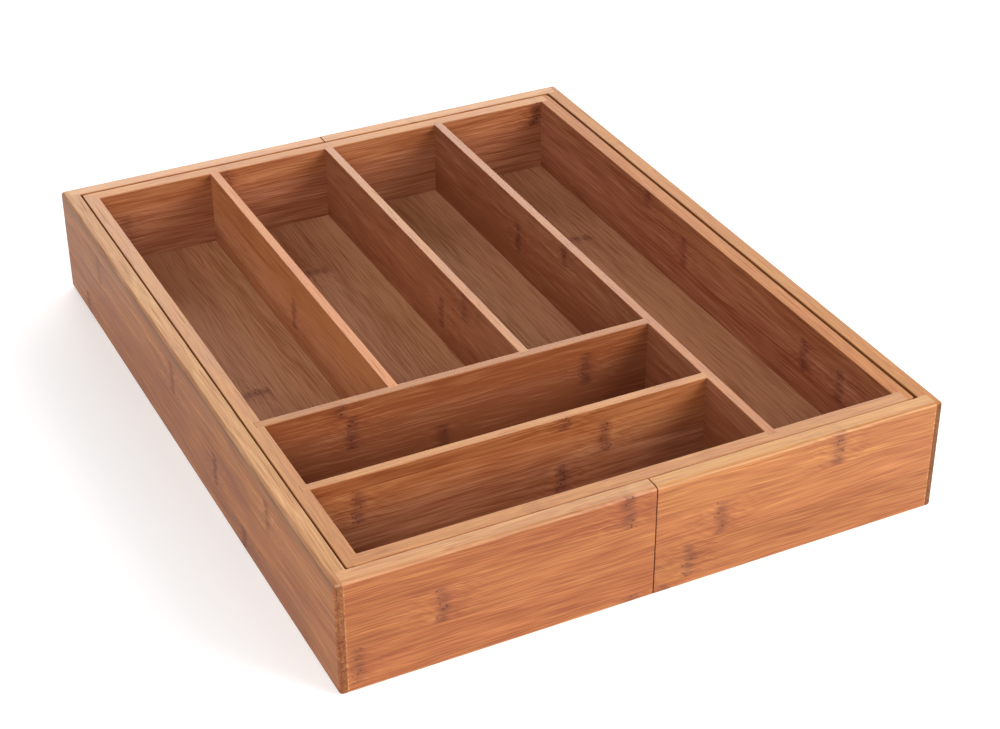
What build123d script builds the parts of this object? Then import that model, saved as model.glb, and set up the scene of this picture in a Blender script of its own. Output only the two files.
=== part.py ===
from build123d import *
import os

# Expandable bamboo cutlery tray: six compartments, between two sleeves that slide out sideways.
#
# The boards meet as a joiner cuts them. Side boards are rabbeted at their ends and cover the ends of the
# boards between them, dividers are housed in dadoes, and floors lie in grooves. Each blank gets its rounded
# edges first and its joints after that, so that the joints have square shoulders.
#
# Millimetres. X runs to the right along the front, Y to the back and Z up. The origin is under the middle of
# the closed tray, on the surface that it stands on.

# Overall size with both sleeves closed
tray_width = 340.0
tray_depth = 432.0
tray_height = 66.0

# Thickness of the boards
sleeve_board = 9.5
wall_board = 8.4
divider_board = 5.5
sleeve_floor_board = 4.0
inner_floor_board = 4.0

# Play between the inner tray and the closed sleeves, which it sits in towards the front left
left_gap = 0.8
right_gap = 1.6
front_gap = 0.4
back_gap = 1.4
running_gap = 0.2
seam_gap = 0.4

# Height of each floor above the lower edges of the boards round it
sleeve_floor_lift = 5.5
inner_floor_lift = 5.0

# Compartments: three long bays of one width at the back left, two cross bays of one depth in front of them
long_bay_width = 71.0
cross_bay_depth = 56.3

# Corner rabbets: what is left of a side board's thickness, as a lip
sleeve_lip = 4.0
wall_lip = 4.0

# Floor grooves, and how far a floor stays clear of their bottoms and of the seam
sleeve_groove_depth = 4.0
wall_groove_depth = 4.0
floor_slack = 0.5
seam_setback = 1.0

# Dadoes that house the dividers, and how far a divider's end stays clear of their bottoms
side_dado_depth = 4.0
end_dado_depth = 3.0
divider_dado_depth = 2.0
dado_slack = 0.15

# Guide: a dowel near the free end of each rail runs in a groove of the inner tray, stopped at both ends
travel = 115.0
pin_diameter = 5.0
pin_fit = 0.05
pin_seat = 6.0
pin_chamfer = 0.5
pin_setback = 15.0
pin_tip_gap = 0.4
guide_side_gap = 0.25
guide_end_gap = 0.3
guide_web = 1.6

# Rounded edges
sleeve_edge_radius = 2.0
seam_ease = 0.4
wall_corner_radius = 1.5
back_right_corner_radius = 3.2
rim_ease = 0.5
divider_ease = 0.4

# Faces of the closed sleeves, outside and inside
outer_right = tray_width / 2
outer_left = -outer_right
outer_back = tray_depth / 2
outer_front = -outer_back
sleeve_left = outer_left + sleeve_board
sleeve_right = outer_right - sleeve_board
sleeve_front = outer_front + sleeve_board
sleeve_back = outer_back - sleeve_board
rail_left = outer_left + sleeve_lip
rail_seam = -seam_gap / 2

# Faces of the inner tray, outside and inside its walls
inner_left = sleeve_left + left_gap
inner_right = sleeve_right - right_gap
inner_front = sleeve_front + front_gap
inner_back = sleeve_back - back_gap
bay_left = inner_left + wall_board
bay_right = inner_right - wall_board
bay_front = inner_front + wall_board
bay_back = inner_back - wall_board
wall_end_left = inner_left + wall_lip
wall_end_right = inner_right - wall_lip

# Levels
rim = tray_height
sleeve_floor_top = sleeve_floor_lift + sleeve_floor_board
inner_bottom = sleeve_floor_top + running_gap
inner_floor_bottom = inner_bottom + inner_floor_lift
inner_floor_top = inner_floor_bottom + inner_floor_board
guide_level = (inner_bottom + rim) / 2

# Left faces of the long dividers, front faces of the cross dividers
left_divider = bay_left + long_bay_width
middle_divider = left_divider + divider_board + long_bay_width
right_divider = middle_divider + divider_board + long_bay_width
front_divider = bay_front + cross_bay_depth
rear_divider = front_divider + divider_board + cross_bay_depth
rear_divider_back = rear_divider + divider_board

# How far floors and dividers reach into the boards that hold them
sleeve_floor_lap = sleeve_groove_depth - floor_slack
inner_floor_lap = wall_groove_depth - floor_slack
side_tongue = side_dado_depth - dado_slack
end_tongue = end_dado_depth - dado_slack
divider_tongue = divider_dado_depth - dado_slack

# Guide grooves, cut until a web of wood is left in front of the dadoes, and the dowels' reach into them
guide_depth = wall_board - end_dado_depth - guide_web
guide_width = pin_diameter + 2 * guide_side_gap
guide_length = 2 * (pin_setback + travel + guide_end_gap) + guide_width
pin_radius = pin_diameter / 2
pin_reach = front_gap + guide_depth - pin_tip_gap

os.makedirs("parts", exist_ok=True)


def save(piece, name):
    piece.part.label = name
    export_step(piece.part, f"parts/{name}.step")


def board(x_low, x_high, y_low, y_high, z_low, z_high, mode=Mode.ADD):
    """Raises a plan rectangle from one level to another."""
    with BuildSketch(Plane.XY.offset(z_low)) as plan:
        with Locations(((x_low + x_high) / 2, (y_low + y_high) / 2)):
            Rectangle(x_high - x_low, y_high - y_low)
    extrude(plan.sketch, amount=z_high - z_low, mode=mode)


def cut(x_low, x_high, y_low, y_high, z_low, z_high):
    board(x_low, x_high, y_low, y_high, z_low, z_high, mode=Mode.SUBTRACT)


def top_edges(piece, along):
    return piece.edges().filter_by(along).group_by(Axis.Z)[-1]


def square_rim(x_low, x_high, y_low, y_high):
    """Restores the eased top edge of a board where it lies in a joint."""
    board(x_low, x_high, y_low, y_high, rim - 2 * rim_ease, rim)


# Side walls of the inner tray
# They run its full depth, with rabbets for the front and back walls and rounded outer corners, of which the
# back right one is worn rounder than the others.
with BuildPart() as inner_left_wall:
    board(inner_left, bay_left, inner_front, inner_back, inner_bottom, rim)
    fillet(inner_left_wall.edges().filter_by(Axis.Z).group_by(Axis.X)[0], wall_corner_radius)
    fillet(inner_left_wall.faces().sort_by(Axis.Z)[-1].edges(), rim_ease)
    cut(wall_end_left, bay_left, inner_front, bay_front, inner_bottom, rim)
    cut(wall_end_left, bay_left, bay_back, inner_back, inner_bottom, rim)
    groove_left = bay_left - wall_groove_depth
    cut(groove_left, bay_left, bay_front, bay_back, inner_floor_bottom, inner_floor_top)
    for front in (front_divider, rear_divider):
        dado_left = bay_left - side_dado_depth
        cut(dado_left, bay_left, front, front + divider_board, inner_floor_top, rim)

with BuildPart() as inner_right_wall:
    board(bay_right, inner_right, inner_front, inner_back, inner_bottom, rim)
    back_corner = inner_right_wall.edges().filter_by(Axis.Z).group_by(Axis.Y)[-1].sort_by(Axis.X)[-1]
    fillet(back_corner, back_right_corner_radius)
    front_corner = inner_right_wall.edges().filter_by(Axis.Z).group_by(Axis.Y)[0].sort_by(Axis.X)[-1]
    fillet(front_corner, wall_corner_radius)
    fillet(inner_right_wall.faces().sort_by(Axis.Z)[-1].edges(), rim_ease)
    cut(bay_right, wall_end_right, inner_front, bay_front, inner_bottom, rim)
    cut(bay_right, wall_end_right, bay_back, inner_back, inner_bottom, rim)
    groove_right = bay_right + wall_groove_depth
    cut(bay_right, groove_right, bay_front, bay_back, inner_floor_bottom, inner_floor_top)


# Front and back walls of the inner tray
# They end in the side walls' rabbets, and a stopped guide groove runs along the outside of each.
def guide_groove(outside, inwards):
    """Mills the groove into the wall face at Y = outside, towards +Y or -Y as inwards says."""
    with BuildSketch(Plane.XZ.offset(-outside)) as slot:
        with Locations((0, guide_level)):
            SlotOverall(guide_length, guide_width)
    extrude(slot.sketch, amount=-guide_depth * inwards, mode=Mode.SUBTRACT)


with BuildPart() as inner_front_wall:
    board(wall_end_left, wall_end_right, inner_front, bay_front, inner_bottom, rim)
    fillet(top_edges(inner_front_wall, Axis.X), rim_ease)
    square_rim(wall_end_left, bay_left, bay_front - 2 * rim_ease, bay_front)
    square_rim(bay_right, wall_end_right, bay_front - 2 * rim_ease, bay_front)
    groove_front = bay_front - wall_groove_depth
    cut(wall_end_left, wall_end_right, groove_front, bay_front, inner_floor_bottom, inner_floor_top)
    dado_front = bay_front - end_dado_depth
    cut(right_divider, right_divider + divider_board, dado_front, bay_front, inner_floor_top, rim)
    guide_groove(inner_front, 1)

with BuildPart() as inner_back_wall:
    board(wall_end_left, wall_end_right, bay_back, inner_back, inner_bottom, rim)
    fillet(top_edges(inner_back_wall, Axis.X), rim_ease)
    square_rim(wall_end_left, bay_left, bay_back, bay_back + 2 * rim_ease)
    square_rim(bay_right, wall_end_right, bay_back, bay_back + 2 * rim_ease)
    groove_back = bay_back + wall_groove_depth
    cut(wall_end_left, wall_end_right, bay_back, groove_back, inner_floor_bottom, inner_floor_top)
    for left in (left_divider, middle_divider, right_divider):
        dado_back = bay_back + end_dado_depth
        cut(left, left + divider_board, bay_back, dado_back, inner_floor_top, rim)
    guide_groove(inner_back, -1)

# Floor of the inner tray
with BuildPart() as inner_floor:
    board(
        bay_left - inner_floor_lap,
        bay_right + inner_floor_lap,
        bay_front - inner_floor_lap,
        bay_back + inner_floor_lap,
        inner_floor_bottom,
        inner_floor_top,
    )


# Dividers
# The top edges are eased from board to board, and the tongues in the dadoes stay square.
def long_divider(left, front, back, front_tongue):
    right = left + divider_board
    with BuildPart() as blank:
        board(left, right, front, back, inner_floor_top, rim)
        fillet(top_edges(blank, Axis.Y), divider_ease)
        board(left, right, front - front_tongue, front, inner_floor_top, rim)
        board(left, right, back, back + end_tongue, inner_floor_top, rim)
    return blank


def cross_divider(front):
    back = front + divider_board
    with BuildPart() as blank:
        board(bay_left, right_divider, front, back, inner_floor_top, rim)
        fillet(top_edges(blank, Axis.X), divider_ease)
        board(bay_left - side_tongue, bay_left, front, back, inner_floor_top, rim)
        board(right_divider, right_divider + divider_tongue, front, back, inner_floor_top, rim)
    return blank


long_divider_left = long_divider(left_divider, rear_divider_back, bay_back, divider_tongue)
long_divider_middle = long_divider(middle_divider, rear_divider_back, bay_back, divider_tongue)

# The right-hand long divider runs the whole depth and houses the ends of both cross dividers.
with BuildPart() as long_divider_right:
    add(long_divider(right_divider, bay_front, bay_back, end_tongue).part)
    for front in (front_divider, rear_divider):
        dado_right = right_divider + divider_dado_depth
        cut(right_divider, dado_right, front, front + divider_board, inner_floor_top, rim)

cross_divider_front = cross_divider(front_divider)

# The rear cross divider houses the front ends of the two shorter long dividers.
with BuildPart() as cross_divider_rear:
    add(cross_divider(rear_divider).part)
    for left in (left_divider, middle_divider):
        dado_front = rear_divider_back - divider_dado_depth
        cut(left, left + divider_board, dado_front, rear_divider_back, inner_floor_top, rim)

inner_tray = {
    "inner_left_wall": inner_left_wall,
    "inner_right_wall": inner_right_wall,
    "inner_front_wall": inner_front_wall,
    "inner_back_wall": inner_back_wall,
    "inner_floor": inner_floor,
    "long_divider_left": long_divider_left,
    "long_divider_middle": long_divider_middle,
    "long_divider_right": long_divider_right,
    "cross_divider_front": cross_divider_front,
    "cross_divider_rear": cross_divider_rear,
}

for name, piece in inner_tray.items():
    save(piece, name)

# Left sleeve
# Outer edges are well rounded. Inner top edges and the edges round a rail's free end are only eased.
with BuildPart() as left_end_wall:
    board(outer_left, sleeve_left, outer_front, outer_back, 0, tray_height)
    inside_face = left_end_wall.faces().sort_by(Axis.X)[-1]
    fillet(left_end_wall.edges() - inside_face.edges(), sleeve_edge_radius)
    fillet(top_edges(left_end_wall, Axis.Y).sort_by(Axis.X)[-1], rim_ease)
    cut(rail_left, sleeve_left, outer_front, sleeve_front, 0, tray_height)
    cut(rail_left, sleeve_left, sleeve_back, outer_back, 0, tray_height)
    groove_left = sleeve_left - sleeve_groove_depth
    cut(groove_left, sleeve_left, sleeve_front, sleeve_back, sleeve_floor_lift, sleeve_floor_top)

with BuildPart() as left_front_rail:
    board(rail_left, rail_seam, outer_front, sleeve_front, 0, tray_height)
    inside_face = left_front_rail.faces().sort_by(Axis.Y)[-1]
    joint_face = left_front_rail.faces().sort_by(Axis.X)[0]
    free_end = left_front_rail.faces().sort_by(Axis.X)[-1]
    long_edges = left_front_rail.edges() - joint_face.edges() - free_end.edges()
    fillet(long_edges - inside_face.edges(), sleeve_edge_radius)
    fillet(top_edges(left_front_rail, Axis.X).sort_by(Axis.Y)[-1], rim_ease)
    square_rim(rail_left, sleeve_left, sleeve_front - 2 * rim_ease, sleeve_front)
    fillet(left_front_rail.faces().sort_by(Axis.X)[-1].edges(), seam_ease)
    groove_front = sleeve_front - sleeve_groove_depth
    cut(rail_left, rail_seam, groove_front, sleeve_front, sleeve_floor_lift, sleeve_floor_top)
    with BuildSketch(Plane.XZ.offset(-sleeve_front)):
        with Locations((-pin_setback, guide_level)):
            Circle(pin_radius + pin_fit)
    extrude(amount=pin_seat, mode=Mode.SUBTRACT)

with BuildPart() as left_front_pin:
    with BuildSketch(Plane.XZ.offset(pin_seat - sleeve_front)):
        with Locations((-pin_setback, guide_level)):
            Circle(pin_radius)
    extrude(amount=-(pin_seat + pin_reach))
    chamfer(left_front_pin.edges().sort_by(Axis.Y)[-1], pin_chamfer)

with BuildPart() as left_sleeve_floor:
    board(
        sleeve_left - sleeve_floor_lap,
        rail_seam - seam_setback,
        sleeve_front - sleeve_floor_lap,
        sleeve_back + sleeve_floor_lap,
        sleeve_floor_lift,
        sleeve_floor_top,
    )

with BuildPart() as left_back_rail:
    mirror(left_front_rail.part, about=Plane.XZ)

with BuildPart() as left_back_pin:
    mirror(left_front_pin.part, about=Plane.XZ)

left_sleeve = {
    "end_wall": left_end_wall,
    "front_rail": left_front_rail,
    "back_rail": left_back_rail,
    "sleeve_floor": left_sleeve_floor,
    "front_pin": left_front_pin,
    "back_pin": left_back_pin,
}

# Right sleeve, the left one's mirror image
for name, piece in left_sleeve.items():
    with BuildPart() as right_piece:
        mirror(piece.part, about=Plane.YZ)
    save(piece, f"left_{name}")
    save(right_piece, f"right_{name}")
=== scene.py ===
import math
from collections import namedtuple

import bpy
from mathutils import Matrix, Vector


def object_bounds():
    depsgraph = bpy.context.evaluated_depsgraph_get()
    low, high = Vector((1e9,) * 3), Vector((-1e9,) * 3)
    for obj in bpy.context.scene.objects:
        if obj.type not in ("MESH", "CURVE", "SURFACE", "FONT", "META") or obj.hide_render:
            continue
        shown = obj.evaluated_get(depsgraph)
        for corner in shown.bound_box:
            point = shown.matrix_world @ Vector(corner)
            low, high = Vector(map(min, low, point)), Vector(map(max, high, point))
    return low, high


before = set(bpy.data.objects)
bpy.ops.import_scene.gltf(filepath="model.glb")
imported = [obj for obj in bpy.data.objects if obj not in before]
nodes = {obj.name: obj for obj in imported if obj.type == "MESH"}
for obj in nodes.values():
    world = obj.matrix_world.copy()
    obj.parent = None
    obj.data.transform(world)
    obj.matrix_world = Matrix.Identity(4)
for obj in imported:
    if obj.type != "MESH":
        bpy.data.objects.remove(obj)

# Dressing of the expandable bamboo cutlery tray: a bamboo material per board, a plain studio, a camera.
# Lengths in the scene are metres. Inside the materials they are millimetres.

cad_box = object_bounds()
MILLIMETRES_PER_METRE = 1000.0


# Shader graphs


class Graph:
    """Adds nodes to a shader tree. An input is given as a value or as the socket that feeds it."""

    def __init__(self, tree):
        self.tree = tree

    def feed(self, socket, value):
        if isinstance(value, bpy.types.NodeSocket):
            self.tree.links.new(value, socket)
        else:
            socket.default_value = value

    def add(self, kind, inputs=(), **settings):
        made = self.tree.nodes.new("ShaderNode" + kind)
        for name, value in settings.items():
            setattr(made, name, value)
        for name, value in dict(inputs).items():
            self.feed(made.inputs[name], value)
        return made

    def math(self, operation, *values, clamp=False):
        made = self.add("Math", enumerate(values), operation=operation, use_clamp=clamp)
        return made.outputs[0]

    def sum(self, *values):
        total = values[0]
        for value in values[1:]:
            total = self.math("ADD", total, value)
        return total

    def product(self, *values):
        total = values[0]
        for value in values[1:]:
            total = self.math("MULTIPLY", total, value)
        return total

    def minus(self, value, other):
        return self.math("SUBTRACT", value, other)

    def size(self, value):
        """The value without its sign."""
        return self.math("ABSOLUTE", value)

    def scaled(self, value, factor, offset=0.0):
        return self.math("MULTIPLY_ADD", value, factor, offset)

    def centred(self, value, factor):
        """A noise's departure from its mean of one half, times factor."""
        return self.scaled(value, factor, -0.5 * factor)

    def clamped(self, value, factor=1.0, offset=0.0):
        return self.math("MULTIPLY_ADD", value, factor, offset, clamp=True)

    def ramp(self, value, low, high, start, end):
        """Goes smoothly from start to end while value goes from low to high."""
        inputs = {"Value": value, "From Min": low, "From Max": high, "To Min": start, "To Max": end}
        return self.add("MapRange", inputs, interpolation_type="SMOOTHSTEP").outputs[0]

    def rise(self, value, low, high):
        return self.ramp(value, low, high, 0.0, 1.0)

    def fall(self, value, low, high):
        return self.ramp(value, low, high, 1.0, 0.0)

    def point(self, x, y, z):
        return self.add("CombineXYZ", {0: x, 1: y, 2: z}).outputs[0]

    def split(self, vector):
        return self.add("SeparateXYZ", {0: vector}).outputs[:3]

    def noise(self, place, detail, roughness=0.5):
        inputs = {"Vector": place, "Scale": 1.0, "Detail": detail, "Roughness": roughness}
        return self.add("TexNoise", inputs).outputs["Fac"]

    def patches(self, along, across, seed, pattern):
        """Noise whose patches have the pattern's length and width, with another cut for each seed."""
        place = self.point(
            self.scaled(along, 1 / pattern.length),
            self.scaled(across, 1 / pattern.width),
            seed,
        )
        return self.noise(place, pattern.detail)

    def dots(self, place, randomness):
        """Distance to the middle of the nearest of a cloud of points, about one unit apart."""
        inputs = {"Vector": place, "Scale": 1.0, "Randomness": randomness}
        return self.add("TexVoronoi", inputs).outputs["Distance"]

    def mix(self, factor, low, high, blend="MIX"):
        """A mix of two colours, whose sockets come after the node's ones for numbers and vectors."""
        inputs = {0: factor, 6: low, 7: high}
        return self.add("Mix", inputs, data_type="RGBA", blend_type=blend).outputs[2]

    def tinted(self, colour, tint, amount):
        return self.mix(amount, colour, tint, "MULTIPLY")


def group(name, vectors, floats, outputs):
    """A new node group's Graph, and the sockets of its inputs by name."""
    tree = bpy.data.node_groups.new(name, "ShaderNodeTree")
    inputs = [(label, "Vector") for label in vectors] + [(label, "Float") for label in floats]
    for label, kind in inputs:
        tree.interface.new_socket(name=label, in_out="INPUT", socket_type="NodeSocket" + kind)
    for label, kind in outputs:
        tree.interface.new_socket(name=label, in_out="OUTPUT", socket_type="NodeSocket" + kind)
    entry = tree.nodes.new("NodeGroupInput")
    return Graph(tree), {label: entry.outputs[label] for label, kind in inputs}


def close_group(graph, results):
    leave = graph.tree.nodes.new("NodeGroupOutput")
    for name, value in results.items():
        graph.feed(leave.inputs[name], value)
    return graph.tree


# Length and width of a slow noise's patches, and its detail
Patches = namedtuple("Patches", "length width detail")


# Scar across one strip, where the cane had a joint
# Its core is a dark band. The wood is flushed on one side of it, and small dots stand in rows on the other.
# These are the distances from its middle, or from the strip's edge, over which its marks come and go.
STRIP_EDGE = (-0.3, 0.6)
CORE_EDGE = (0.5, 5.5)
FLUSH_START = (-5.0, 0.0)
ROWS_START = (-5.0, -3.5)
ROWS_END = (1.5, 3.0)
FEATHER_EDGE = (5.0, 34.0)
SCAR_MARKS = ("Core", "Flush", "Rows", "Feather")

# How ragged it runs across the strip
RAGGED, RAGGED_BY = Patches(40, 6, 2.0), 7.0


def make_scar_group():
    floats = ["Ragged", "At", "Low", "High", "Side", "Reach", "Strength"]
    graph, given = group("bamboo_scar", ["Place"], floats, [(mark, "Float") for mark in SCAR_MARKS])
    along, across = graph.split(given["Place"])[:2]
    off = graph.math("ADD", graph.minus(along, given["At"]), given["Ragged"])
    off = graph.product(off, given["Side"])
    low_side = graph.rise(graph.minus(across, given["Low"]), *STRIP_EDGE)
    high_side = graph.rise(graph.minus(given["High"], across), *STRIP_EDGE)
    shown = graph.product(low_side, high_side, given["Strength"])
    flush_end = graph.fall(off, 0.0, given["Reach"])
    marks = {
        "Core": graph.product(graph.fall(graph.size(off), *CORE_EDGE), shown),
        "Flush": graph.product(graph.rise(off, *FLUSH_START), flush_end, shown),
        "Rows": graph.product(graph.rise(off, *ROWS_START), graph.fall(off, *ROWS_END), shown),
        "Feather": graph.product(graph.fall(graph.size(off), *FEATHER_EDGE), shown),
    }
    return close_group(graph, marks)


# Bamboo board, in axes of its own: along the grain, across the strips and through the board

# Colours of the streaks, from dark to pale, with half a unit of tone from each to the next
DARK_STREAK = (0.209, 0.053, 0.013, 1)
MAIN_COLOUR = (0.299, 0.094, 0.0266, 1)
PALE_STREAK = (0.392, 0.144, 0.0454, 1)
PALEST_STREAK = (0.52, 0.215, 0.073, 1)
STEPS_PER_TONE, MAIN_TONE = 2.0, 0.5

# Tints, which multiply them. The hue goes from the red tint at 0 to the straw one at 1.
RED_TINT = (1.02, 0.92, 0.93, 1)
STRAW_TINT = (0.99, 1.04, 0.93, 1)
MIDDLE_HUE = 0.5
CORE_TINT = (0.62, 0.62, 0.76, 1)
FLUSH_TINT = (0.89, 0.81, 0.85, 1)
DOT_TINT = (0.40, 0.27, 0.26, 1)
OLIVE_END = (0.65, 0.71, 0.86, 1)
PURPLE_END = (0.65, 0.69, 1.00, 1)
PORE_TINT = (0.86, 0.83, 0.83, 1)
# The end shade is painted shade on end grain that stands out of the light
END_PAINTED_SHADE = (0.64, 0.72, 0.72, 1)
# The rim tint is partly the paler edges of the strips and partly painted sheen on the top rims
RIM_TINT = (1.70, 2.48, 2.75, 1)
# This greyer tint is painted sheen, a neutral haze of light over the wood
GREY_SHEEN_TINT = (0.97, 1.14, 1.90, 1)
JOINT_TINT = (1.35, 1.75, 2.10, 1)
# This tint is weathering on the sides and painted shade where the band reaches round an edge
WEATHERED_AND_SHADE_TINT = (0.74, 0.80, 0.92, 1)
# This tint is painted shade on the rounded edges
EDGE_SHADE_TINT = (0.86, 0.82, 1.02, 1)

# Strips of cane: their width, half a glue line as a share of it, and how far they differ
STRIP = 20.5
GLUE_LINE = 0.022
STRIP_TONES, STRIP_HUES, STRIP_SLOPES = 0.26, 0.4, 0.06

# How far apart the strips of a board, and the boards, read the noise along their grain, and one more seed
STRIP_SHIFT, SEED_SHIFT, CHANCE_SEED = 17.3, 31.7, 3.7

# Wander of the grain, and its swirl beside a scar, with how far they bend it
WANDER, WANDER_BY = Patches(50, 16, 1.0), 3.2
SWIRL, SWIRL_BY = Patches(12, 7, 1.0), 3.5

# Patterns along the grain: length and width of their marks, detail and roughness of their noise, and where
# along it they start
Pattern = namedtuple("Pattern", "length width detail roughness start")
STREAKS = Pattern(40, 2.2, 2.0, 0.6, 0.0)
FIBRES = Pattern(30, 0.75, 1.0, 0.6, 40.0)
ZONES = Pattern(110, 11, 1.0, 0.5, 80.0)
HUES = Pattern(60, 5.0, 1.0, 0.5, 120.0)
DASHES = Pattern(45, 0.8, 0.0, 0.5, 160.0)
DASH_EDGE = (0.68, 0.82)
HUE_SPREAD = 1.1

# Barbs of a scar, which lean across the grain
BARBS, BARB_LEAN = Patches(7, 2.2, 1.0), 0.45

# How far each pattern lightens or darkens the wood, and how much plainer a rim is
STREAK_TONE, ZONE_TONE, FIBRE_TONE, BARB_TONE = 1.15, 0.8, 1.9, 1.1
DASH_TONE, GLUE_TONE = -0.35, -0.14
PLAINER_RIM = -0.45

# Dots of a scar, pores of the end grain and its layers: spacing, disorder and edge
# Pores and layers are drawn out: they hardly change along the direction that they run in.
DOT_LENGTH, DOT_WIDTH, DOT_DISORDER, DOT_EDGE = 2.5, 2.3, 0.95, (0.12, 0.36)
PORE_WIDTH, PORE_DISORDER, PORE_EDGE = 0.9, 0.8, (0.18, 0.42)
LAYER_WIDTH, LAYER_EDGE = 2.0, (0.40, 0.60)
DRAWN_OUT, LAYER_DETAIL = 0.02, 1.0

# How the streaks mottle the core of a scar
MOTTLED = (0.30, 0.62, 1.0, 0.55)

# How far a face turns before it counts as end grain, as rim and as flat
END_TURN = (0.60, 0.90)
RIM_TURN = (0.05, 0.60)
FLAT_TURN = (0.60, 0.97)

# Pale line at a lip, band that is weathered and in places painted shade, and how the streaks show in the
# rubbed edges and their painted shade
JOINT_EDGE, JOINT_BREAKS, JOINT_BREAK_EDGE = (0.25, 0.65), 1.6, (0.42, 0.60)
JOINT_SEED, JOINT_DETAIL = 0.5, 2.0
WEATHERED_AND_SHADED_RAGGED, WEATHERED_AND_SHADED_FADE = 5.0, 6.0
EDGE_STREAKS = (0.35, 0.60, 0.7, 1.0)

# Lacquer: its roughness, and how far each pattern roughens it
LACQUER = 0.42
STREAK_ROUGHNESS, FIBRE_ROUGHNESS, DASH_ROUGHNESS, CORE_ROUGHNESS = 0.20, 0.16, 0.10, 0.06
END_ROUGHNESS, RIM_ROUGHNESS, WORN_ROUGHNESS = 0.14, 0.06, -0.07

# Relief: the bump's depth in metres, its strength, and each pattern's share
BUMP_DEPTH, BUMP_STRENGTH = 0.00006, 0.6
FIBRE_RELIEF, DASH_RELIEF, GLUE_RELIEF, DOT_RELIEF, PORE_RELIEF = 0.9, -0.8, -0.7, -0.8, -0.9


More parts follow.
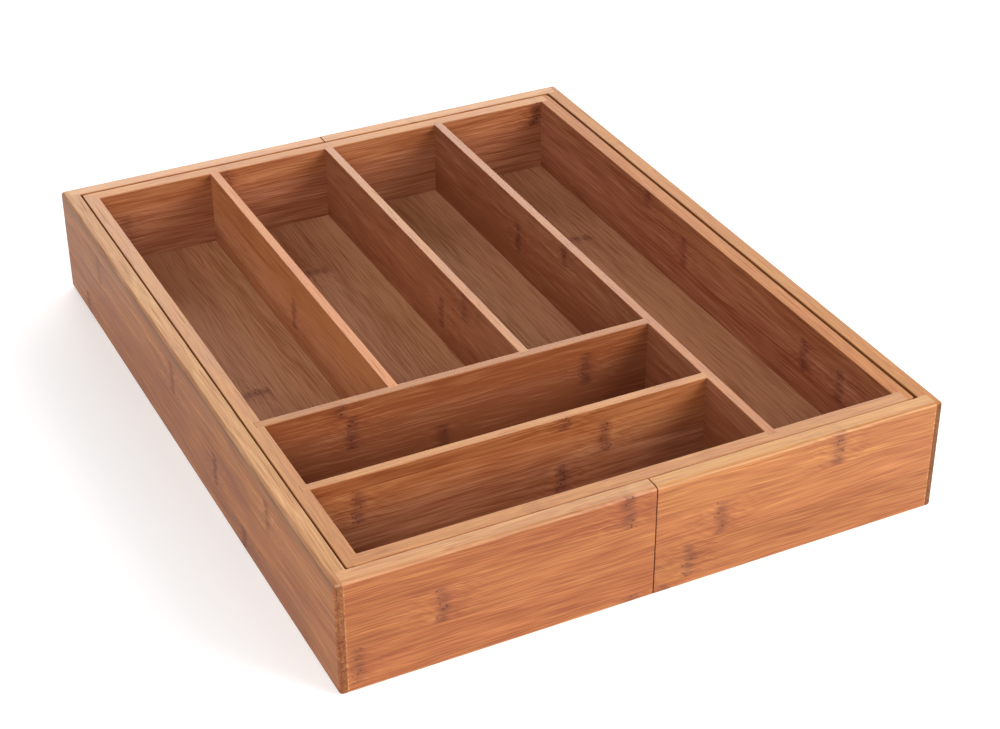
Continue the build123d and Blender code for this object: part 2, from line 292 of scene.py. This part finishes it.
def make_bamboo_group():
    floats = ["Seed", "Strip line", *SCAR_MARKS, "Tone", "Hue", "Contrast", "Greyness", "Rim paleness"]
    floats += ["Rim greyness", "End shade", "Joint", "Weathered", "Weathered edge"]
    outputs = [("Colour", "Color"), ("Roughness", "Float"), ("Height", "Float")]
    graph, given = group("bamboo_board", ["Place", "Facing"], floats, outputs)
    along, across, through = graph.split(given["Place"])
    lengthwise, sideways, outwards = graph.split(given["Facing"])
    end = graph.rise(graph.size(lengthwise), *END_TURN)
    rim = graph.rise(graph.size(sideways), *RIM_TURN)
    flat_side = graph.product(graph.minus(1.0, end), graph.minus(1.0, rim))
    seed, feather = given["Seed"], given["Feather"]

    # Strips of cane glued side by side, each with its own tone, hue and slope of grain
    place_in_strips = graph.math("DIVIDE", graph.minus(across, given["Strip line"]), STRIP)
    strip = graph.math("FLOOR", place_in_strips)
    chance_place = graph.point(strip, seed, CHANCE_SEED)
    chance = graph.add("TexWhiteNoise", {"Vector": chance_place}, noise_dimensions="3D")
    chances = graph.add("SeparateColor", {0: chance.outputs["Color"]})
    tone_chance, hue_chance, slope_chance = chances.outputs[:3]
    within = graph.math("FRACT", graph.math("ADD", place_in_strips, 0.5))
    glue_line = graph.fall(graph.size(graph.minus(within, 0.5)), 0.0, GLUE_LINE)

    # Grain, which wanders slowly and is feathered beside the scars
    wander = graph.centred(graph.patches(along, across, seed, WANDER), WANDER_BY)
    swirl = graph.product(graph.centred(graph.patches(along, across, seed, SWIRL), SWIRL_BY), feather)
    sloped = graph.product(along, graph.centred(slope_chance, STRIP_SLOPES))
    bent = graph.sum(across, sloped, wander, swirl)
    shift = graph.math("ADD", graph.scaled(strip, STRIP_SHIFT), graph.scaled(seed, SEED_SHIFT))

    def grain(pattern):
        place = graph.point(
            graph.sum(graph.scaled(along, 1 / pattern.length), shift, pattern.start),
            graph.scaled(bent, 1 / pattern.width),
            graph.scaled(through, 1 / pattern.width),
        )
        return graph.noise(place, pattern.detail, pattern.roughness)

    streaks, zones, fibres, hues = grain(STREAKS), grain(ZONES), grain(FIBRES), grain(HUES)
    dashes = graph.rise(grain(DASHES), *DASH_EDGE)
    leaning = graph.math("ADD", across, graph.scaled(along, BARB_LEAN))
    barbs = graph.patches(along, leaning, seed, BARBS)

    # Tone and hue
    figure = graph.sum(
        graph.centred(streaks, STREAK_TONE),
        graph.centred(zones, ZONE_TONE),
        graph.centred(fibres, FIBRE_TONE),
    )
    tone = graph.sum(
        MAIN_TONE,
        graph.product(figure, given["Contrast"], graph.scaled(rim, PLAINER_RIM, 1.0)),
        graph.product(graph.centred(barbs, BARB_TONE), feather),
        graph.centred(tone_chance, STRIP_TONES),
        graph.scaled(dashes, DASH_TONE),
        graph.scaled(glue_line, GLUE_TONE),
        given["Tone"],
    )
    colour = DARK_STREAK
    for step, paler in enumerate((MAIN_COLOUR, PALE_STREAK, PALEST_STREAK)):
        colour = graph.mix(graph.clamped(tone, STEPS_PER_TONE, -step), colour, paler)
    hue = graph.sum(
        graph.centred(hues, HUE_SPREAD),
        graph.centred(hue_chance, STRIP_HUES),
        MIDDLE_HUE,
        given["Hue"],
    )
    colour = graph.tinted(colour, graph.mix(graph.clamped(hue), RED_TINT, STRAW_TINT), 1.0)

    # Scars
    colour = graph.tinted(colour, FLUSH_TINT, given["Flush"])
    colour = graph.tinted(colour, CORE_TINT, graph.product(given["Core"], graph.ramp(streaks, *MOTTLED)))
    dot_place = graph.point(
        graph.scaled(along, 1 / DOT_LENGTH),
        graph.scaled(across, 1 / DOT_WIDTH),
        graph.scaled(through, 1 / DOT_WIDTH),
    )
    dots = graph.product(graph.fall(graph.dots(dot_place, DOT_DISORDER), *DOT_EDGE), given["Rows"])
    colour = graph.tinted(colour, DOT_TINT, dots)

    # End grain, and the edges of the strips that show on a rim, whose pale tint is partly their own colour
    # and partly painted sheen
    pore_place = graph.point(
        graph.scaled(along, DRAWN_OUT),
        graph.scaled(across, 1 / PORE_WIDTH),
        graph.scaled(through, 1 / PORE_WIDTH),
    )
    pores = graph.fall(graph.dots(pore_place, PORE_DISORDER), *PORE_EDGE)
    layer_place = graph.point(seed, graph.scaled(across, DRAWN_OUT), graph.scaled(through, 1 / LAYER_WIDTH))
    layers = graph.rise(graph.noise(layer_place, LAYER_DETAIL), *LAYER_EDGE)
    end_tint = graph.mix(layers, OLIVE_END, PURPLE_END)
    end_tint = graph.tinted(end_tint, PORE_TINT, pores)
    colour = graph.tinted(colour, end_tint, end)
    # Painted shade on the end grain, strongest on the right end wall's lip, which stands in shade
    colour = graph.tinted(colour, END_PAINTED_SHADE, graph.product(given["End shade"], end))
    colour = graph.tinted(colour, RIM_TINT, graph.product(given["Rim paleness"], rim))
    # Greyness is painted sheen: a neutral haze of reflected light, on the flat sides and on the rims
    side_greyness = graph.product(given["Greyness"], flat_side)
    rim_greyness = graph.product(given["Rim greyness"], rim)
    colour = graph.tinted(colour, GREY_SHEEN_TINT, graph.sum(side_greyness, rim_greyness))

    # Pale broken line where a rail meets the lip of the end wall
    beside = graph.size(graph.minus(along, given["Joint"]))
    break_place = graph.point(seed, graph.scaled(across, 1 / JOINT_BREAKS), JOINT_SEED)
    broken = graph.rise(graph.noise(break_place, JOINT_DETAIL), *JOINT_BREAK_EDGE)
    joint = graph.product(graph.fall(beside, *JOINT_EDGE), broken, flat_side)
    colour = graph.tinted(colour, JOINT_TINT, joint)

    # Weathered band, which starts at a given height on the sides and reaches round the edge above it. Where
    # it reaches round the edge, as on the right end wall, it is painted shade of that dim rounded edge.
    height = graph.sum(across, graph.centred(streaks, WEATHERED_AND_SHADED_RAGGED))
    weathered_and_shaded_top = graph.math("ADD", given["Weathered"], WEATHERED_AND_SHADED_FADE)
    turned_out = graph.math("GREATER_THAN", graph.size(outwards), given["Weathered edge"])
    weathered_and_shaded_band = graph.product(graph.rise(height, given["Weathered"], weathered_and_shaded_top), turned_out)
    colour = graph.tinted(colour, WEATHERED_AND_SHADE_TINT, weathered_and_shaded_band)

    # Rounded edges, darkened a little as painted shade and rubbed smoother
    squares = graph.add("VectorMath", {0: given["Facing"], 1: given["Facing"]}, operation="MULTIPLY")
    squared = squares.outputs[0]
    flatness = graph.add("VectorMath", {0: squared, 1: squared}, operation="DOT_PRODUCT").outputs["Value"]
    shaded_rubbed_edge = graph.product(graph.fall(flatness, *FLAT_TURN), graph.ramp(streaks, *EDGE_STREAKS))
    colour = graph.tinted(colour, EDGE_SHADE_TINT, shaded_rubbed_edge)

    roughness = graph.sum(
        LACQUER,
        graph.centred(streaks, STREAK_ROUGHNESS),
        graph.centred(fibres, FIBRE_ROUGHNESS),
        graph.scaled(dashes, DASH_ROUGHNESS),
        graph.scaled(given["Core"], CORE_ROUGHNESS),
        graph.scaled(end, END_ROUGHNESS),
        graph.scaled(rim, RIM_ROUGHNESS),
        graph.scaled(shaded_rubbed_edge, WORN_ROUGHNESS),
    )
    relief = graph.sum(
        graph.centred(fibres, FIBRE_RELIEF),
        graph.scaled(dashes, DASH_RELIEF),
        graph.scaled(glue_line, GLUE_RELIEF),
        graph.scaled(dots, DOT_RELIEF),
        graph.product(end, graph.scaled(pores, PORE_RELIEF)),
    )
    return close_group(graph, {"Colour": colour, "Roughness": roughness, "Height": relief})


scar_group = make_scar_group()
bamboo_group = make_bamboo_group()

# Which way the board's own axes point: along the grain, across the strips, through the board
ALONG_X_ACROSS_Z = (0, 2, 1)
ALONG_Y_ACROSS_Z = (1, 2, 0)
ALONG_Y_ACROSS_X = (1, 0, 2)

# A scar's place along its board, the edges of its strip, the side and reach of its flush, and its strength
Scar = namedtuple("Scar", "at low high side reach strength")
RIGHT, LEFT = 1.0, -1.0

# Heights between which a board gets less grey, by these factors, as painted sheen that shows more low down
# in the shade of the bays, and between which its painted depth shade fades
GREY_SHEEN_HEIGHTS, GREY_SHEEN_THERE = (25.0, 58.0), (2.5, 0.6)
PAINTED_SHADE_HEIGHTS = (22.0, 60.0)

# Refraction of the lacquer, its coat as a share of the gloss, and how rough that coat is
LACQUER_IOR, COAT_SHARE, COAT_ROUGHNESS = 1.45, 1 / 3, 0.30

# A board's looks where nothing else is asked for. Never is a place beyond every board.
NEVER = 1000.0
PLAIN_LOOKS = {
    "tone": 0.0,
    "hue": 0.0,
    "contrast": 1.0,
    "greyness": 0.0,
    "rim_paleness": 0.5,
    "rim_greyness": 0.0,
    "end_shade": 0.0,
    "joint": NEVER,
    "weathered": NEVER,
    "weathered_edge": 0.9,
}


def scar_marks(graph, place, seed, scars):
    """The marks of a board's scars, by name."""
    along, across = graph.split(place)[:2]
    ragged = graph.centred(graph.patches(along, across, seed, RAGGED), RAGGED_BY)
    marks = {}
    for scar in scars:
        inputs = {"Place": place, "Ragged": ragged}
        inputs.update({name.capitalize(): value for name, value in scar._asdict().items()})
        made = graph.add("Group", node_tree=scar_group)
        for name, value in inputs.items():
            graph.feed(made.inputs[name], value)
        for mark in SCAR_MARKS:
            shown = made.outputs[mark]
            marks[mark] = graph.math("MAXIMUM", marks[mark], shown) if mark in marks else shown
    return marks


def bamboo(node, axes, seed, strip_line, gloss=0.30, painted_depth_shade=0.0, scars=(), **looks):
    """Gives a board its own cut of bamboo.

    The strip line is the edge of one of its strips. The gloss is the strength of its reflections.
    The depth shade is painted shade that darkens it towards the bottom. The looks, named as in PLAIN_LOOKS,
    set how pale, yellow, streaky and grey it is, where it is joined and where it is weathered. Its
    greyness, part of its rim's paleness, its end shade and its band round an edge are painted sheen and
    painted shade.
    """
    material = bpy.data.materials.new("bamboo_" + node)
    material.use_nodes = True
    material.node_tree.nodes.clear()
    graph = Graph(material.node_tree)
    source = graph.add("TexCoord").outputs
    inputs = {0: source["Object"], "Scale": MILLIMETRES_PER_METRE}
    xyz = graph.split(graph.add("VectorMath", inputs, operation="SCALE").outputs[0])
    normal = graph.split(source["Normal"])
    place = graph.point(*(xyz[axis] for axis in axes))
    facing = graph.point(*(normal[axis] for axis in axes))
    height = xyz[2]

    inputs = {"Place": place, "Facing": facing, "Seed": seed, "Strip line": strip_line}
    for label, value in {**PLAIN_LOOKS, **looks}.items():
        inputs[label.replace("_", " ").capitalize()] = value
    # Painted sheen is greyer low down, where the wood lies in shade
    deeper_grey_sheen = graph.ramp(height, *GREY_SHEEN_HEIGHTS, *GREY_SHEEN_THERE)
    inputs["Greyness"] = graph.product(deeper_grey_sheen, inputs["Greyness"])
    # Painted shade, darker towards the bottom, where less light reaches inside the bays
    shade = graph.ramp(height, *PAINTED_SHADE_HEIGHTS, -painted_depth_shade, 0.0)
    inputs["Tone"] = graph.math("ADD", shade, inputs["Tone"])
    if scars:
        inputs.update(scar_marks(graph, place, seed, scars))
    board = graph.add("Group", node_tree=bamboo_group)
    for name, value in inputs.items():
        graph.feed(board.inputs[name], value)

    relief = {"Height": board.outputs["Height"], "Strength": BUMP_STRENGTH, "Distance": BUMP_DEPTH}
    inputs = {
        "Base Color": board.outputs["Colour"],
        "Roughness": board.outputs["Roughness"],
        "Normal": graph.add("Bump", relief).outputs["Normal"],
        "IOR": LACQUER_IOR,
        "Specular IOR Level": gloss,
        "Coat Weight": gloss * COAT_SHARE,
        "Coat Roughness": COAT_ROUGHNESS,
    }
    shader = graph.add("BsdfPrincipled", inputs)
    graph.add("OutputMaterial", {"Surface": shader.outputs["BSDF"]})

    piece = nodes[node]
    piece.data.materials.clear()
    piece.data.materials.append(material)


# Sleeves

bamboo(
    "left_front_rail",
    ALONG_X_ACROSS_Z,
    seed=1.0,
    strip_line=46.3,
    tone=-0.02,
    rim_paleness=1.05,
    rim_greyness=0.4,
    joint=-165.7,
    scars=[
        Scar(-15.5, 46.3, 66, LEFT, 14, 0.9),
        Scar(-116, 25.8, 46.3, RIGHT, 22, 0.9),
        Scar(-160, 5, 25.8, RIGHT, 26, 0.7),
        Scar(-12, 0, 5, LEFT, 12, 0.8),
    ],
)
bamboo(
    "right_front_rail",
    ALONG_X_ACROSS_Z,
    seed=2.0,
    strip_line=46.3,
    tone=0.1,
    hue=0.25,
    rim_paleness=0.62,
    joint=165.7,
    scars=[
        Scar(107, 46.3, 66, LEFT, 10, 0.9),
        Scar(38, 25.8, 46.3, RIGHT, 12, 0.9),
        Scar(20, 5, 25.8, RIGHT, 20, 0.9),
        Scar(5, 0, 5, LEFT, 12, 0.8),
    ],
)
bamboo(
    "left_end_wall",
    ALONG_Y_ACROSS_Z,
    seed=3.0,
    strip_line=56.5,
    hue=0.15,
    contrast=1.25,
    rim_paleness=0.7,
    rim_greyness=0.65,
    gloss=0.12,
    weathered=57.0,
    scars=[
        Scar(146, 36.5, 56.5, LEFT, 10, 0.5),
        Scar(14, 36.5, 56.5, RIGHT, 12, 0.9),
        Scar(-128, 36.5, 56.5, LEFT, 10, 0.8),
        Scar(-50, 16, 36.5, RIGHT, 28, 0.9),
        Scar(177, 0, 16, LEFT, 10, 0.8),
        Scar(-90, 0, 16, RIGHT, 12, 0.8),
    ],
)
bamboo(
    "right_end_wall",
    ALONG_Y_ACROSS_Z,
    seed=4.0,
    strip_line=52.0,
    rim_paleness=0.48,
    # Painted shade on the lip of its end grain
    end_shade=0.7,
    gloss=0.12,
    # Its band reaches round the top edge as painted shade
    weathered_edge=0.3,
    weathered=57.0,
    scars=[
        Scar(120, 52, 66, LEFT, 12, 0.8),
        Scar(-60, 31.5, 52, RIGHT, 18, 0.9),
        Scar(64, 11, 31.5, LEFT, 14, 0.8),
        Scar(-170, 11, 31.5, RIGHT, 12, 0.7),
    ],
)
bamboo(
    "left_back_rail",
    ALONG_X_ACROSS_Z,
    seed=5.0,
    strip_line=44.0,
    tone=0.02,
    rim_paleness=0.9,
    rim_greyness=0.15,
    scars=[
        Scar(-70, 44, 64.5, RIGHT, 14, 0.8),
        Scar(-138, 23.5, 44, LEFT, 16, 0.9),
        Scar(-31, 3, 23.5, LEFT, 12, 0.8),
    ],
)
bamboo(
    "right_back_rail",
    ALONG_X_ACROSS_Z,
    seed=6.0,
    strip_line=48.0,
    tone=0.02,
    rim_paleness=0.72,
    scars=[
        Scar(63, 48, 66, LEFT, 14, 0.8),
        Scar(131, 27.5, 48, RIGHT, 16, 0.9),
        Scar(24, 7, 27.5, RIGHT, 12, 0.8),
    ],
)
bamboo(
    "left_sleeve_floor",
    ALONG_Y_ACROSS_X,
    seed=7.0,
    strip_line=-150.0,
    tone=0.35,
    greyness=0.2,
    gloss=0.04,
    scars=[
        Scar(-104, -129.5, -109, LEFT, 14, 0.8),
        Scar(72, -150, -129.5, RIGHT, 14, 0.8),
        Scar(140, -88.5, -68, LEFT, 12, 0.7),
    ],
)
bamboo(
    "right_sleeve_floor",
    ALONG_Y_ACROSS_X,
    seed=8.0,
    strip_line=150.0,
    tone=0.35,
    greyness=0.2,
    gloss=0.04,
    scars=[
        Scar(96, 109, 129.5, LEFT, 14, 0.8),
        Scar(-58, 129.5, 150, RIGHT, 14, 0.8),
        Scar(-150, 68, 88.5, LEFT, 12, 0.7),
    ],
)

# Inner tray

bamboo(
    "inner_front_wall",
    ALONG_X_ACROSS_Z,
    seed=9.0,
    strip_line=50.0,
    greyness=0.6,
    rim_paleness=0.68,
    scars=[
        Scar(-60, 50, 66, RIGHT, 12, 0.8),
        Scar(88, 29.5, 50, LEFT, 14, 0.8),
        Scar(-120, 9, 29.5, RIGHT, 12, 0.7),
    ],
)
bamboo(
    "inner_back_wall",
    ALONG_X_ACROSS_Z,
    seed=10.0,
    strip_line=50.0,
    tone=0.02,
    hue=-0.1,
    greyness=0.9,
    rim_paleness=0.66,
    rim_greyness=0.05,
    gloss=0.2,
    scars=[
        Scar(146, 50, 66, LEFT, 10, 1.0),
        Scar(-70, 50, 66, RIGHT, 14, 0.7),
        Scar(-136, 30, 50, RIGHT, 10, 0.5),
    ],
)
bamboo(
    "inner_left_wall",
    ALONG_Y_ACROSS_Z,
    seed=11.0,
    strip_line=47.0,
    tone=-0.03,
    greyness=0.6,
    rim_paleness=0.62,
    scars=[
        Scar(-30, 47, 66, RIGHT, 12, 0.6),
        Scar(122, 26.5, 47, LEFT, 14, 0.8),
    ],
)
bamboo(
    "inner_right_wall",
    ALONG_Y_ACROSS_Z,
    seed=12.0,
    strip_line=55.0,
    tone=0.04,
    hue=-0.35,
    greyness=1.4,
    rim_paleness=0.42,
    gloss=0.1,
    scars=[
        Scar(57, 55, 66, LEFT, 12, 0.8),
        Scar(12, 34.5, 55, RIGHT, 12, 0.6),
        Scar(-118, 34.5, 55, LEFT, 14, 0.8),
        Scar(-153, 34.5, 55, RIGHT, 12, 0.7),
    ],
)
bamboo(
    "inner_floor",
    ALONG_Y_ACROSS_X,
    seed=13.0,
    strip_line=-10.0,
    tone=0.78,
    hue=0.1,
    greyness=0.36,
    gloss=0.02,
    scars=[
        Scar(20, -133, -112.5, LEFT, 14, 0.8),
        Scar(132, -51, -30.5, RIGHT, 14, 0.8),
        Scar(-168, -51, -30.5, LEFT, 12, 0.7),
        Scar(-20, 31, 51.5, RIGHT, 14, 0.7),
        Scar(96, 113, 133.5, LEFT, 14, 0.8),
        Scar(-104, -92, -71.5, RIGHT, 12, 0.7),
    ],
)
bamboo(
    "long_divider_left",
    ALONG_Y_ACROSS_Z,
    seed=14.0,
    strip_line=48.0,
    tone=0.88,
    painted_depth_shade=0.4,
    hue=-0.25,
    contrast=1.0,
    greyness=0.3,
    rim_paleness=0.08,
    rim_greyness=0.25,
    gloss=0.15,
    scars=[
        Scar(62, 27.5, 48, LEFT, 10, 0.8),
    ],
)
bamboo(
    "long_divider_middle",
    ALONG_Y_ACROSS_Z,
    seed=15.0,
    strip_line=48.0,
    tone=0.2,
    painted_depth_shade=0.42,
    hue=-0.1,
    greyness=1.7,
    rim_paleness=0.45,
    scars=[
        Scar(24, 27.5, 48, RIGHT, 12, 0.8),
        Scar(-6, 48, 66, LEFT, 26, 0.6),
    ],
)
bamboo(
    "long_divider_right",
    ALONG_Y_ACROSS_Z,
    seed=16.0,
    strip_line=52.0,
    tone=0.0,
    painted_depth_shade=0.5,
    greyness=1.8,
    rim_paleness=0.32,
    scars=[
        Scar(18, 52, 66, RIGHT, 12, 0.8),
        Scar(77, 31.5, 52, LEFT, 16, 0.9),
        Scar(-120, 31.5, 52, RIGHT, 12, 0.7),
    ],
)
bamboo(
    "cross_divider_rear",
    ALONG_X_ACROSS_Z,
    seed=17.0,
    strip_line=57.5,
    tone=-0.4,
    greyness=0.9,
    rim_paleness=0.76,
    scars=[
        Scar(-110, 57.5, 66, LEFT, 10, 0.8),
        Scar(-104, 37, 57.5, RIGHT, 12, 0.9),
        Scar(34, 37, 57.5, RIGHT, 10, 0.9),
        Scar(-52, 17, 37, LEFT, 12, 0.8),
    ],
)
bamboo(
    "cross_divider_front",
    ALONG_X_ACROSS_Z,
    seed=18.0,
    strip_line=58.0,
    tone=0.05,
    greyness=0.5,
    rim_paleness=0.68,
    scars=[
        Scar(-127, 37.5, 58, RIGHT, 8, 0.8),
        Scar(-12, 58, 66, LEFT, 10, 0.8),
        Scar(12, 37.5, 58, LEFT, 10, 0.9),
        Scar(-13, 17, 37.5, RIGHT, 18, 0.9),
    ],
)

# Dowels
for number, dowel in enumerate(("left_front_pin", "left_back_pin", "right_front_pin", "right_back_pin")):
    bamboo(dowel, ALONG_Y_ACROSS_Z, seed=19.0 + number, strip_line=50.0, tone=0.15)


# Studio

WHITE = (1.0, 1.0, 1.0, 1)
FLOOR_SIZE = 8.0
FLOOR_DROP = 0.0002
FLOOR_WHITE = (0.92, 0.92, 0.92)
FLOOR_ROUGHNESS, FLOOR_SPECULAR, FLOOR_GLOW = 0.8, 0.2, 0.20
SPECKLE_SCALE, SPECKLE_DETAIL, SPECKLE_SHADE = 9.0, 2.0, 0.985
TRAY_MIDDLE = Vector((0.0, 0.0, 0.03))
BACKDROP_STRENGTH = 0.03


def make_floor_material():
    material = bpy.data.materials.new("studio_white")
    material.use_nodes = True
    graph = Graph(material.node_tree)
    place = graph.add("TexCoord").outputs["Object"]
    inputs = {"Vector": place, "Scale": SPECKLE_SCALE, "Detail": SPECKLE_DETAIL}
    speckle = graph.add("TexNoise", inputs).outputs["Fac"]
    shaded = tuple(SPECKLE_SHADE * c for c in FLOOR_WHITE) + (1,)
    shader = material.node_tree.nodes["Principled BSDF"]
    inputs = {
        "Base Color": graph.mix(speckle, shaded, FLOOR_WHITE + (1,)),
        "Roughness": FLOOR_ROUGHNESS,
        "Specular IOR Level": FLOOR_SPECULAR,
        "Emission Color": WHITE,
        "Emission Strength": FLOOR_GLOW,
    }
    for name, value in inputs.items():
        graph.feed(shader.inputs[name], value)
    return material


def make_floor():
    half = FLOOR_SIZE / 2
    corners = [(-half, -half, 0), (half, -half, 0), (half, half, 0), (-half, half, 0)]
    mesh = bpy.data.meshes.new("studio_floor")
    mesh.from_pydata(corners, [], [(0, 1, 2, 3)])
    mesh.materials.append(make_floor_material())
    floor = bpy.data.objects.new("studio_floor", mesh)
    bpy.context.collection.objects.link(floor)
    floor.location.z = cad_box[0][2] - FLOOR_DROP
    return floor


def softbox(name, direction, distance, width, height, radiance):
    """A rectangular lamp that looks at the tray. Its radiance is what a mirror would show of it."""
    data = bpy.data.lights.new(name, "AREA")
    data.shape = "RECTANGLE"
    data.size, data.size_y = width, height
    data.energy = radiance * math.pi * width * height
    lamp = bpy.data.objects.new(name, data)
    bpy.context.collection.objects.link(lamp)
    away = Vector(direction).normalized()
    lamp.location = TRAY_MIDDLE + away * distance
    lamp.rotation_euler = away.to_track_quat("Z", "Y").to_euler()


floor = make_floor()
softbox("left_light", (-0.72, -0.10, 0.68), distance=1.8, width=1.6, height=1.2, radiance=1.6)
softbox("front_left_light", (-0.60, -0.50, 0.60), distance=1.8, width=1.4, height=1.2, radiance=2.8)
softbox("front_light", (0.0, -0.92, 0.38), distance=1.8, width=2.0, height=0.8, radiance=2.2)
softbox("front_right_light", (0.60, -0.65, 0.45), distance=1.8, width=1.2, height=1.0, radiance=9.0)
softbox("back_light", (0.375, 0.756, 0.40), distance=1.9, width=2.4, height=0.9, radiance=5.9)

world = bpy.data.worlds.new("studio")
world.use_nodes = True
backdrop = world.node_tree.nodes["Background"]
backdrop.inputs["Color"].default_value = WHITE
backdrop.inputs["Strength"].default_value = BACKDROP_STRENGTH
bpy.context.scene.world = world
bpy.context.scene.view_settings.view_transform = "Standard"


# Camera, fitted to the photograph's view of the tray

AZIMUTH, ELEVATION, ROLL = -26.405373, 32.382849, -0.165830
TO_THE_RIGHT, UPWARD, BACKWARD = 0.019508, 0.012517, 1.222558
LENS, SENSOR = 75.933, 36.0


def make_camera():
    azimuth, elevation, roll = (math.radians(angle) for angle in (AZIMUTH, ELEVATION, ROLL))
    back_x = math.sin(azimuth) * math.cos(elevation)
    back_y = -math.cos(azimuth) * math.cos(elevation)
    back = Vector((back_x, back_y, math.sin(elevation)))
    level_right = Vector((0, 0, 1)).cross(back).normalized()
    level_up = back.cross(level_right)
    right = level_right * math.cos(roll) + level_up * math.sin(roll)
    up = level_up * math.cos(roll) - level_right * math.sin(roll)
    data = bpy.data.cameras.new("camera")
    data.sensor_fit = "HORIZONTAL"
    data.sensor_width = SENSOR
    data.lens = LENS
    camera = bpy.data.objects.new("camera", data)
    bpy.context.collection.objects.link(camera)
    place = right * TO_THE_RIGHT + up * UPWARD + back * BACKWARD
    camera.matrix_world = Matrix.Translation(place) @ Matrix((right, up, back)).transposed().to_4x4()
    return camera


bpy.context.scene.camera = make_camera()
